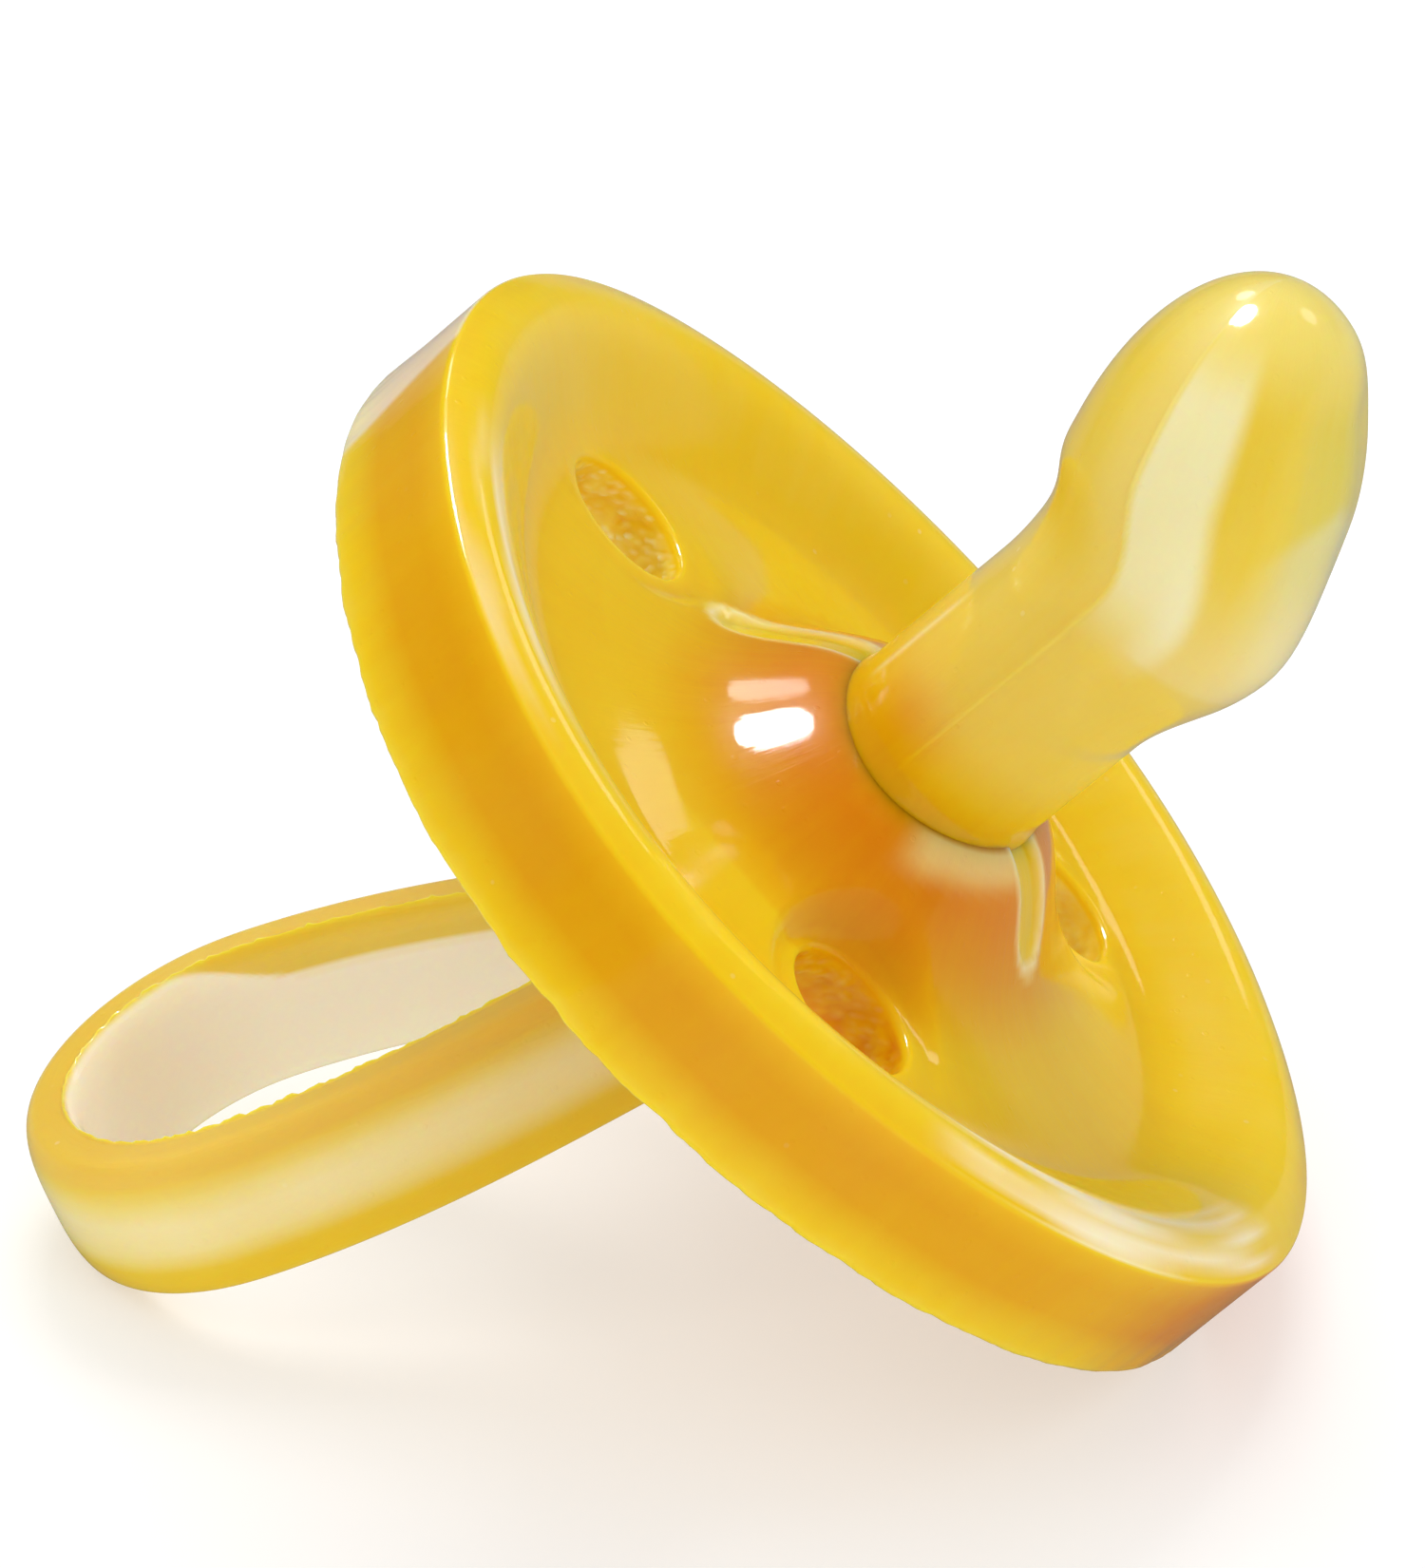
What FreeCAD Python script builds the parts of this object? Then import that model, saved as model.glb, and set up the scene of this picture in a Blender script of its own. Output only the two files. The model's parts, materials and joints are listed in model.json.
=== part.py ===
"""Natural rubber pacifier: a round dished shield, a hollow orthodontic teat, a plug that
turns in the shield, and a teardrop loop handle that folds on the plug. Millimetres.

Every piece is drawn in the shield's own frame, where z is the shield's axis with the teat at
+z, z = 0 is the front of the rim, and y points to the side the handle leans to. At the end
all of them are turned together into the attitude in which the pacifier lies on a table, with
the origin at the centre of the skirt's back edge."""

import FreeCAD, Part
import math
import os

# Shield
RIM_R = 25.0             # outside radius of rim and skirt
LIP_ROUND = 1.3          # rounding of the rim's front edge
SKIRT_BACK = -7.15       # plane of the skirt's back edge
SKIRT_WALL = 2.2
DISH_R = 19.0            # where the sloping wall meets the floor
DISH_Z = -3.4
HUB_FOOT_R = 11.2
HUB_FOOT_Z = -2.6
HUB_TOP_R = 7.9
HUB_TOP_Z = 2.0
PLATE_BACK = -5.4        # flat back of the plate
VENT_R = 3.0
VENT_CIRCLE_R = 14.6
VENT_COUNT = 3

# Teat
TEAT_CLOCK = -26.0       # its upper side, turned about z from the handle's upper side
NECK_OFFSET = -0.7       # the neck sits a little below the shield's axis
NECK_WIDE = 7.2          # half sizes of the oval neck and of the bulb
NECK_THICK = 4.7
BULB_WIDE = 8.3
BULB_THICK = 6.15
TEAT_LENGTH = 24.7       # along the centre line, from the hub's top to the tip
NECK_START = -8.4        # on the same line, just behind the plate
TIP_START = 14.1         # from here the bulb rounds off towards the tip
BEND = 30.5              # how far the bulb leans upwards, in degrees
BEND_SPAN = (9.7, 17.3)
UPPER_SPAN = (7.6, 16.5)     # where the neck swells into the bulb, on the upper side
LOWER_SPAN = (6.0, 12.5)     # and on the tongue side
TEAT_WALL = 1.5
CAVITY_START = 0.6       # above the hub's top
FLANGE_R = 8.6           # root flange, seated in a recess in the back of the plate
FLANGE_T = 1.2
TIP_ROUND = 2.1          # exponent of the tip's rounding, 2 being an ellipse
TIP_END = 0.96           # share of the quarter turn at which the tip is closed by a small flat

# Plug
RUN = 0.05               # clearance of every running fit
STEM_R = 2.0
SNAP_R = 2.4             # head that holds the stem behind the teat's bore
SNAP_LENGTH = 1.4
SNAP_GAP = 0.15          # end play of the stem
SNAP_TIP_R = 1.5
PLUG_FLANGE_R = 7.5
PLUG_FLANGE_T = 1.4
BOSS_R = 4.5
BOSS_BACK = -10.2
TONGUE_T = 4.2
TONGUE_R = 3.6
PIVOT_Z = -14.0

# Handle
FOLD_REST = 22.0         # lean of the handle from straight back, in degrees
BAND_W = 6.6
BAND_T = 2.6
BAND_EDGE = 1.1          # rounding of the band's long edges
LOOP_LENGTH = 25.4       # pivot to the middle of the band at the far end
LOOP_WIDEST = 17.6       # distance from the pivot at which the loop is widest
ROOT_HALF = 3.5          # half distance between the band's two ends
LOOP_HALF = 8.05
PEG_R = 1.5
PEG_GAP = 0.2            # between the tips of the two pegs

# Drawing
OVER = 1.0               # how far cutting tools reach past a face
CENTRE_STEPS = 60        # steps along the teat's centre line
NECK_STATIONS = 10       # sections of the teat up to the start of the tip, and from there on
TIP_STATIONS = 8
OVAL_POINTS = 24
LOOP_POINTS = 14         # on each quarter of the loop

X, Y, Z = FreeCAD.Vector(1, 0, 0), FreeCAD.Vector(0, 1, 0), FreeCAD.Vector(0, 0, 1)
ZERO = FreeCAD.Vector(0, 0, 0)


def vec(x, y, z):
    return FreeCAD.Vector(x, y, z)


def through(span, s):
    """Smooth step from 0 at the start of the span to 1 at its end."""
    t = min(max((s - span[0]) / (span[1] - span[0]), 0.0), 1.0)
    return t * t * (3.0 - 2.0 * t)


def tube_blank(radius, low, high):
    return Part.makeCylinder(radius, high - low, vec(0, 0, low))


def spline(points, closed=False):
    curve = Part.BSplineCurve()
    curve.interpolate(points, PeriodicFlag=closed)
    return curve.toShape()


# ---------------------------------------------------------------- shield

def shield_profile():
    """Half section of the plate, hub and skirt, from the axis round to the axis again."""
    lip_centre = vec(RIM_R - LIP_ROUND, 0, -LIP_ROUND)
    lip_mid = lip_centre + vec(LIP_ROUND, 0, LIP_ROUND) * math.sqrt(0.5)
    inner = RIM_R - SKIRT_WALL
    path = [
        vec(0, 0, HUB_TOP_Z), vec(HUB_TOP_R, 0, HUB_TOP_Z), vec(HUB_FOOT_R, 0, HUB_FOOT_Z),
        vec(DISH_R, 0, DISH_Z), vec(RIM_R - LIP_ROUND, 0, 0),
    ]
    back = [
        vec(RIM_R, 0, -LIP_ROUND), vec(RIM_R, 0, SKIRT_BACK), vec(inner, 0, SKIRT_BACK),
        vec(inner, 0, DISH_Z), vec(DISH_R - SKIRT_WALL, 0, PLATE_BACK),
        vec(0, 0, PLATE_BACK), path[0],
    ]
    edges = [Part.makeLine(a, b) for a, b in zip(path, path[1:])]
    edges.append(Part.Arc(path[-1], lip_mid, back[0]).toShape())
    edges += [Part.makeLine(a, b) for a, b in zip(back, back[1:])]
    return Part.Face(Part.Wire(edges))


def make_shield():
    body = shield_profile().revolve(ZERO, Z, 360)
    body = body.cut(teat_form(NECK_START, 0))
    body = body.cut(tube_blank(FLANGE_R, PLATE_BACK, PLATE_BACK + FLANGE_T))
    for i in range(VENT_COUNT):
        angle = math.radians(90 + TEAT_CLOCK + i * 360 / VENT_COUNT)
        centre = vec(math.cos(angle), math.sin(angle), 0) * VENT_CIRCLE_R + Z * (PLATE_BACK - OVER)
        body = body.cut(Part.makeCylinder(VENT_R, HUB_TOP_Z - PLATE_BACK, centre))
    return body


# ---------------------------------------------------------------- teat

def teat_station(s, inset):
    """Centre, heading and half sizes of the oval section at distance s along the teat.
    The cavity is the same form with every size smaller by inset."""
    y, z, heading = NECK_OFFSET, HUB_TOP_Z, 0.0
    step = s / CENTRE_STEPS
    for i in range(CENTRE_STEPS):
        heading = math.radians(BEND) * through(BEND_SPAN, (i + 0.5) * step)
        y += math.sin(heading) * step
        z += math.cos(heading) * step
    upper, lower = through(UPPER_SPAN, s), through(LOWER_SPAN, s)
    to_tip = max(0.0, (s - TIP_START) / (TEAT_LENGTH - inset - TIP_START))
    closing = math.sqrt(max(0.0, 1 - to_tip ** TIP_ROUND))
    wide = (NECK_WIDE + (BULB_WIDE - NECK_WIDE) * upper - inset) * closing
    above = (NECK_THICK + (BULB_THICK - NECK_THICK) * upper - inset) * closing
    below = (NECK_THICK + (BULB_THICK - NECK_THICK) * lower - inset) * closing
    return vec(0, y, z), heading, wide, above, below


def teat_section(s, inset):
    centre, heading, wide, above, below = teat_station(s, inset)
    up = vec(0, math.cos(heading), -math.sin(heading))
    ring = []
    for i in range(OVAL_POINTS):
        turn = 2 * math.pi * i / OVAL_POINTS
        height = above if math.sin(turn) > 0 else below
        ring.append(centre + X * (wide * math.cos(turn)) + up * (height * math.sin(turn)))
    return Part.Wire(spline(ring, closed=True))


def teat_form(start, inset):
    """Closed solid of the teat from the station start to its tip, or of its cavity."""
    tip = TEAT_LENGTH - inset - TIP_START
    stations = [start + (TIP_START - start) * i / NECK_STATIONS for i in range(NECK_STATIONS)]
    for i in range(TIP_STATIONS):
        turn = math.pi / 2 * TIP_END * i / (TIP_STATIONS - 1)
        stations.append(TIP_START + tip * math.sin(turn))
    form = Part.makeLoft([teat_section(s, inset) for s in stations], True, False)
    form.rotate(ZERO, Z, TEAT_CLOCK)
    return form


def make_teat():
    body = teat_form(NECK_START, 0).cut(tube_blank(RIM_R, PLATE_BACK - RIM_R, PLATE_BACK))
    body = body.fuse(tube_blank(FLANGE_R, PLATE_BACK, PLATE_BACK + FLANGE_T))
    body = body.cut(teat_form(CAVITY_START, TEAT_WALL))
    return body.cut(tube_blank(STEM_R + RUN, PLATE_BACK - OVER, HUB_TOP_Z + CAVITY_START + OVER))


# ---------------------------------------------------------------- plug

def make_plug():
    front = PLATE_BACK - RUN
    snap = HUB_TOP_Z + CAVITY_START + SNAP_GAP
    body = tube_blank(STEM_R, front, snap)
    body = body.fuse(Part.makeCone(SNAP_R, SNAP_TIP_R, SNAP_LENGTH, vec(0, 0, snap)))
    body = body.fuse(tube_blank(PLUG_FLANGE_R, front - PLUG_FLANGE_T, front))
    body = body.fuse(tube_blank(BOSS_R, BOSS_BACK, front - PLUG_FLANGE_T))
    left = -TONGUE_T / 2
    tongue = Part.makeBox(TONGUE_T, 2 * TONGUE_R, BOSS_BACK - PIVOT_Z, vec(left, -TONGUE_R, PIVOT_Z))
    tip = Part.makeCylinder(TONGUE_R, TONGUE_T, vec(left, 0, PIVOT_Z), X)
    bore = Part.makeCylinder(PEG_R + RUN, TONGUE_T + 2 * OVER, vec(left - OVER, 0, PIVOT_Z), X)
    return body.fuse(tongue).fuse(tip).cut(bore).removeSplitter()


# ---------------------------------------------------------------- handle

def loop_half_width(h):
    """Half width of the loop's centre line at distance h behind the pivot."""
    if h < LOOP_WIDEST:
        return ROOT_HALF + (LOOP_HALF - ROOT_HALF) * math.sin(math.pi / 2 * h / LOOP_WIDEST)
    beyond = (h - LOOP_WIDEST) / (LOOP_LENGTH - LOOP_WIDEST)
    return LOOP_HALF * math.sqrt(max(0.0, 1 - beyond ** 2))


def loop_outline(offset):
    """Spline at a constant offset from the loop's centre line, from one end to the other."""
    shares = [i / LOOP_POINTS for i in range(LOOP_POINTS)]
    beyond = LOOP_LENGTH - LOOP_WIDEST
    distances = [LOOP_WIDEST * t for t in shares]
    distances += [LOOP_WIDEST + beyond * math.sin(math.pi / 2 * t) for t in shares]
    half = [(loop_half_width(h), h) for h in distances]
    line = half + [(0.0, LOOP_LENGTH)] + [(-x, h) for x, h in reversed(half)]
    points = []
    for i, (x, h) in enumerate(line):
        before, after = line[max(i - 1, 0)], line[min(i + 1, len(line) - 1)]
        run = math.hypot(after[0] - before[0], after[1] - before[1])
        normal = ((after[1] - before[1]) / run, (before[0] - after[0]) / run)
        points.append(vec(x + offset * normal[0], -BAND_W / 2, -h - offset * normal[1]))
    return spline(points)


def make_handle():
    """Flat band bent to a teardrop, drawn straight back from the pivot and then leaned."""
    outer, inner = loop_outline(BAND_T / 2), loop_outline(-BAND_T / 2)
    first = Part.makeLine(outer.firstVertex().Point, inner.firstVertex().Point)
    last = Part.makeLine(outer.lastVertex().Point, inner.lastVertex().Point)
    wire = Part.Wire(Part.sortEdges([outer, last, inner, first])[0])
    band = Part.Face(wire).extrude(Y * BAND_W)
    long_edges = [e for e in band.Edges if e.Length > 2 * LOOP_LENGTH]
    body = band.makeFillet(BAND_EDGE, long_edges)
    inside = ROOT_HALF - BAND_T / 2
    peg_length = inside - PEG_GAP / 2 + BAND_T / 2
    for side in (-1, 1):
        eye = Part.makeCylinder(BAND_W / 2, BAND_T, X * (side * inside), X * side)
        peg = Part.makeCylinder(PEG_R, peg_length, X * (side * PEG_GAP / 2), X * side)
        body = body.fuse(eye).fuse(peg)
    body = body.removeSplitter()
    body.rotate(ZERO, X, FOLD_REST)
    body.translate(vec(0, 0, PIVOT_Z))
    return body


# ---------------------------------------------------------------- lying on the table

def lying_turn():
    """Turn about x that lays the skirt's back edge and the loop's far end on one level."""
    lean = math.radians(FOLD_REST)
    reach = LOOP_LENGTH + BAND_T / 2 - BAND_EDGE
    drop = -BAND_W / 2 + BAND_EDGE
    corner_y = reach * math.sin(lean) + drop * math.cos(lean)
    corner_z = PIVOT_Z - reach * math.cos(lean) + drop * math.sin(lean)
    run_y, run_z = corner_y + RIM_R, SKIRT_BACK - corner_z
    distance = math.hypot(run_y, run_z)
    return math.degrees(math.atan2(run_z, run_y) + math.asin(BAND_EDGE / distance))


def main():
    os.makedirs("parts", exist_ok=True)
    makers = {"shield": make_shield, "teat": make_teat, "plug": make_plug, "handle": make_handle}
    turn = lying_turn()
    for name, make in makers.items():
        shape = make()
        shape.translate(vec(0, 0, -SKIRT_BACK))
        shape.rotate(ZERO, X, turn)
        shape.exportStep(f"parts/{name}.step")
        box = shape.BoundBox
        print(f"{name}: valid {shape.isValid()}, solids {len(shape.Solids)}, "
              f"volume {shape.Volume:.1f} mm3, y {box.YMin:.2f} to {box.YMax:.2f}, "
              f"z {box.ZMin:.2f} to {box.ZMax:.2f}")
    print(f"turn {turn:.3f} degrees")


main()
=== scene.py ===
import json
import math

import bmesh
import bpy
import numpy as np
from mathutils import Matrix, Vector, noise
from mathutils.geometry import delaunay_2d_cdt


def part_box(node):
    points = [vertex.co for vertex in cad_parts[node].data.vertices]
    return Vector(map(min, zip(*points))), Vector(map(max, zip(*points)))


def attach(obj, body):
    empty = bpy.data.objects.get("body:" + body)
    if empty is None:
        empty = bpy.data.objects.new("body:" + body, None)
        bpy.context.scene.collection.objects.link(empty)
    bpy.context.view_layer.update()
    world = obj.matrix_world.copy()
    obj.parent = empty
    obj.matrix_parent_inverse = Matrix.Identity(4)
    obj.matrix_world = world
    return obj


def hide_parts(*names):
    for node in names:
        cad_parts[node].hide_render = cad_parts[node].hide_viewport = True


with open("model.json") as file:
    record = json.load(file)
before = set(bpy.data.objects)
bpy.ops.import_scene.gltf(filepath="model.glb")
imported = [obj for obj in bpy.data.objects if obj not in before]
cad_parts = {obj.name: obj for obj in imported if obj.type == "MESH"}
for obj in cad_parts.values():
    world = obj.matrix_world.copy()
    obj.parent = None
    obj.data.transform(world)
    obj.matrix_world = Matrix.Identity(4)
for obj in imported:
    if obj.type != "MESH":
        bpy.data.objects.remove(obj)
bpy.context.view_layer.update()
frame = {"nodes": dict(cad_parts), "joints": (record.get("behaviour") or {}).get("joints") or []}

MM = 0.001

# Shield
RIM_R, SKIRT_WALL, SKIRT_EDGE = 25.0, 2.2, 0.35   # the last one rounds the back edge
SKIRT_BACK, PLATE_BACK = -7.15, -5.4
CREST_Z = -0.98                               # the crisp edge between the lip and the skirt
RIM_BENDS = ((2, 0.48, 55.2), (3, 0.29, 81.2))  # waves round the soft rim, height, angle of a crest
BEND_FROM, BEND_OVER = 9.0, 15.0              # radius where the bends begin, and the stretch they grow in
SHIELD_GRAIN, SHIELD_GRAIN_ACROSS = 16, 0.15  # how fine its streaks are, round it and across them
VENT_R, VENT_CIRCLE_R, VENT_COUNT, VENT_ROUND = 3.0, 14.6, 3, 0.3
VENT_CLEAR, VENT_EASE, VENT_SINK = 1.8, 2.4, 3.5        # the hub stays down round the air holes
COLLAR_W, COLLAR_EASE, COLLAR_T = 1.9, 1.4, 0.45        # thicker collar round them at the back
HUB_STRETCH, HUB_SHIFT = 1.3, 1.0       # the hub is wider across the teat and sits below the axis
HUB_BLEND = 1.5                         # how softly the hub runs into the dish
# Teat
TEAT_CLOCK = -26.0
HUB_TOP_Z = 2.0
FLUTE_START, FLUTE_END, FLUTE_HALF, FLUTE_DEPTH, FLUTE_WALL = 4.6, 8.2, 1.5, 0.35, 0.8
NECK_OFFSET, NECK_WIDE, NECK_THICK = -0.7, 7.2, 4.7
NECK_SCALE = 5.5                        # turns a ratio to the neck's oval into about millimetres
NECK_GROOVE = 0.04
BULB_WIDE, BULB_THICK = 8.3, 6.15
TEAT_LENGTH, TIP_START, BEND = 24.7, 14.1, 30.5
BEND_SPAN, UPPER_SPAN, LOWER_SPAN = (9.7, 17.3), (7.6, 16.5), (6.0, 12.5)
TEAT_WALL, CAVITY_START = 1.5, 0.6
FLANGE_R, FLANGE_T = 8.6, 1.2
# Plug
RUN, STEM_R, SNAP_R, SNAP_LENGTH = 0.05, 2.0, 2.4, 1.4
PLUG_FLANGE_R, PLUG_FLANGE_T = 7.5, 1.4
FLANGE_EDGE, BOSS_FILLET = 0.45, 0.8
BOSS_R, BOSS_BACK = 4.5, -10.2
TONGUE_T, TONGUE_R, PIVOT_Z = 4.2, 3.6, -14.0
# Handle
FOLD_REST, BAND_W, BAND_T = 22.0, 6.6, 2.6
LOOP_LENGTH, LOOP_WIDEST, ROOT_HALF, LOOP_HALF = 25.4, 17.6, 3.5, 8.05
BAND_EDGE, LOOP_SOFT = 0.9, 0.7         # rounding of the band's ends, and of the loop's corners
PEG_R, PEG_GAP = 1.5, 0.2

joints = {j["name"]: j for j in frame["joints"]}
SIDE = np.array(joints["handle_fold"]["axis"], float)
AXIS = np.array(joints["handle_swivel"]["axis"], float)
UP = np.cross(AXIS, SIDE)
TO_ROW = np.array([SIDE, UP, AXIS])
PIVOT = np.array(joints["handle_fold"]["pos_m"], float)
RIM_CENTRE = PIVOT - AXIS * PIVOT_Z * MM


def place(points):
    """Points of the shield's frame in millimetres, as points of the row frame in metres."""
    return np.asarray(points, float) @ TO_ROW * MM + RIM_CENTRE


def turned(points, degrees, axis="Z"):
    return np.asarray(points, float) @ np.array(Matrix.Rotation(math.radians(degrees), 3, axis)).T


def smooth(t):
    """0 below 0, 1 above 1, and a soft step between."""
    t = np.clip(t, 0.0, 1.0)
    return t * t * (3.0 - 2.0 * t)


def eased(knots, soft):
    """A curve through the knots with its corners rounded over about soft millimetres."""
    x, y = np.array(knots, float).T
    fine = np.linspace(x[0] - 4 * soft, x[-1] + 4 * soft, 4000)
    step = fine[1] - fine[0]
    slope_in, slope_out = (y[1] - y[0]) / (x[1] - x[0]), (y[-1] - y[-2]) / (x[-1] - x[-2])
    value = np.interp(fine, x, y)
    value = np.where(fine < x[0], y[0] + slope_in * (fine - x[0]), value)
    value = np.where(fine > x[-1], y[-1] + slope_out * (fine - x[-1]), value)
    reach = int(3 * soft / step)
    kernel = np.exp(-0.5 * (np.arange(-reach, reach + 1) * step / soft) ** 2)
    padded = np.pad(value, reach, mode="reflect", reflect_type="odd")
    value = np.convolve(padded, kernel / kernel.sum(), mode="valid")
    return lambda q: np.interp(q, fine, value)


class Shape:
    """Collects faces and vertices in the shield's frame. Each vertex has a depth of colour, a
    milkiness that also carries painted highlights and reflections, and a grain coordinate that its
    material's streaks follow."""

    def __init__(self):
        self.points, self.deep, self.milk, self.grain, self.faces, self.count = [], [], [], [], [], 0

    def add(self, points, deep=0.5, milk=0.0, grain=None):
        points = np.asarray(points, float).reshape(-1, 3)
        first = self.count
        self.points.append(points)
        self.deep.append(np.broadcast_to(np.asarray(deep, float), (len(points),)))
        self.milk.append(np.broadcast_to(np.asarray(milk, float), (len(points),)))
        self.grain.append(points if grain is None else np.asarray(grain, float))
        self.count += len(points)
        return np.arange(first, self.count)

    def strip(self, a, b):
        """Quads between two rings of equally many vertices."""
        n = len(a)
        for i in range(n):
            j = (i + 1) % n
            self.faces.append((a[i], a[j], b[j], b[i]))

    def fan(self, ring, tip):
        n = len(ring)
        for i in range(n):
            self.faces.append((ring[i], ring[(i + 1) % n], tip))

    def build(self, name):
        mesh = bpy.data.meshes.new(name)
        points = np.vstack(self.points)
        mesh.from_pydata(place(points).tolist(), [], [[int(v) for v in f] for f in self.faces])
        for key, values in (("deep", self.deep), ("milk", self.milk)):
            layer = mesh.attributes.new(key, "FLOAT", "POINT")
            layer.data.foreach_set("value", np.concatenate(values).astype(np.float32))
        layer = mesh.attributes.new("grain", "FLOAT_VECTOR", "POINT")
        layer.data.foreach_set("vector", np.vstack(self.grain).astype(np.float32).ravel())
        obj = bpy.data.objects.new(name, mesh)
        bpy.context.scene.collection.objects.link(obj)
        bm = bmesh.new()
        bm.from_mesh(mesh)
        bmesh.ops.recalc_face_normals(bm, faces=bm.faces)
        bm.to_mesh(mesh)
        bm.free()
        for poly in mesh.polygons:
            poly.use_smooth = True
        return obj


def rod(radius, start, end):
    """A closed round bar along x through the pivot, in the shield's frame."""
    shape = Shape()
    sides = 48
    a = np.arange(sides) * 2 * math.pi / sides
    rings = []
    for x in np.linspace(start, end, 8):
        round_x = np.column_stack([0 * a + x, radius * np.cos(a), PIVOT_Z + radius * np.sin(a)])
        rings.append(shape.add(round_x, 0.6))
    for one, two in zip(rings, rings[1:]):
        shape.strip(one, two)
    for ring, x in ((rings[0], start), (rings[-1], end)):
        shape.fan(ring, shape.add([[x, 0, PIVOT_Z]], 0.6)[0])
    return shape.build("rod")


def combine(base, tool, operation, deep):
    """Join or cut base with tool. New vertices get the depth of colour given."""
    modifier = base.modifiers.new("combine", "BOOLEAN")
    modifier.operation, modifier.solver, modifier.object = operation, "EXACT", tool
    bpy.context.view_layer.objects.active = base
    bpy.ops.object.modifier_apply(modifier=modifier.name)
    bpy.data.objects.remove(tool)
    layer = base.data.attributes["deep"]
    values = np.empty(len(base.data.vertices), np.float32)
    layer.data.foreach_get("value", values)
    layer.data.foreach_set("value", np.where(values < 0.001, deep, values).astype(np.float32))
    for poly in base.data.polygons:
        poly.use_smooth = True


# ---------------------------------------------------------------- shield

def rim_warp(x, y):
    """How far the soft rim bends out of its plane."""
    angle = np.arctan2(y, x)
    wave = sum(height * np.cos(count * (angle - math.radians(crest))) for count, height, crest in RIM_BENDS)
    return wave * smooth((np.hypot(x, y) - BEND_FROM) / BEND_OVER)


dish = eased([(0, -2.6), (11.5, -2.75), (14.6, -2.9), (17.4, -3.05), (18.7, -2.95),
              (20.5, -1.6), (22.2, -0.45), (23.6, -0.2), (25.0, CREST_Z)], 0.7)
hub = eased([(0, 2.6), (5.5, 2.0), (6.8, 0.9), (8.0, -0.5), (9.4, -1.8),
             (11.2, -2.8), (13, -3.7), (40, -16)], 0.9)
under = eased([(0, PLATE_BACK), (16.8, PLATE_BACK), (22.8, -3.5), (25, -2.8)], 0.35)


def in_teat_frame(x, y):
    """The same place in a frame turned with the teat, whose y points to the teat's upper side."""
    turn = math.radians(-TEAT_CLOCK)
    return x * math.cos(turn) - y * math.sin(turn), x * math.sin(turn) + y * math.cos(turn)


def vent_centres():
    for i in range(VENT_COUNT):
        angle = math.radians(90 + TEAT_CLOCK + i * 360 / VENT_COUNT)
        yield VENT_CIRCLE_R * math.cos(angle), VENT_CIRCLE_R * math.sin(angle)


def edge_drop(distance, radius):
    """How far a rounded edge has dropped at a distance from where it ends."""
    inside = np.clip(radius - distance, 0.0, radius)
    return radius - np.sqrt(radius ** 2 - inside ** 2)


def flute_gap(x, y):
    """Distance outside the middle line of the nearer of the hub's two flutes."""
    xt, yt = in_teat_frame(x, y)
    past_end = np.maximum(np.maximum(FLUTE_START - np.abs(yt), np.abs(yt) - FLUTE_END), 0.0)
    return np.hypot(xt, past_end)


def hub_distance(x, y):
    """Distance from the hub's middle, measured so that the hub is an oval."""
    xt, yt = in_teat_frame(x, y)
    return np.sqrt((xt / HUB_STRETCH) ** 2 + (yt + HUB_SHIFT) ** 2)


def beyond_neck(x, y):
    """Distance outside the neck's foot, in about millimetres."""
    xt, yt = in_teat_frame(x, y)
    return (np.hypot(xt / NECK_WIDE, (yt - NECK_OFFSET) / NECK_THICK) - 1) * NECK_SCALE


def front_height(x, y):
    a, b = hub(hub_distance(x, y)), dish(np.hypot(x, y))
    for cx, cy in vent_centres():
        a = a - VENT_SINK * smooth((VENT_R + VENT_CLEAR - np.hypot(x - cx, y - cy)) / VENT_EASE)
    blend = np.clip(0.5 + 0.5 * (a - b) / HUB_BLEND, 0, 1)
    z = b * (1 - blend) + a * blend + HUB_BLEND * blend * (1 - blend)
    z = z - FLUTE_DEPTH * smooth((FLUTE_HALF - flute_gap(x, y)) / FLUTE_WALL)
    for cx, cy in vent_centres():
        z = z - edge_drop(np.hypot(x - cx, y - cy) - VENT_R, VENT_ROUND)
    z = z - edge_drop(beyond_neck(x, y), NECK_GROOVE)
    return z + rim_warp(x, y)


def back_height(x, y):
    z = under(np.hypot(x, y))
    for cx, cy in vent_centres():
        z = z - COLLAR_T * smooth((VENT_R + COLLAR_W - np.hypot(x - cx, y - cy)) / COLLAR_EASE)
        z = z + edge_drop(np.hypot(x - cx, y - cy) - VENT_R, VENT_ROUND)
    return z + rim_warp(x, y)


def circle(cx, cy, r, n):
    a = np.arange(n) * 2 * math.pi / n
    return np.stack([cx + r * np.cos(a), cy + r * np.sin(a)], 1)


def neck_oval(offset, n):
    """The neck's foot, widened by offset."""
    a = np.arange(n) * 2 * math.pi / n
    across, along = (NECK_WIDE + offset) * np.cos(a), (NECK_THICK + offset) * np.sin(a)
    return turned(np.stack([across, NECK_OFFSET + along, 0 * a], 1), TEAT_CLOCK)[:, :2]


RINGS, VENT_N, NECK_N = 480, 84, 168    # points round the rim, an air hole and the neck
SPACING = 0.34   # between the points that fill the plates


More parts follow.
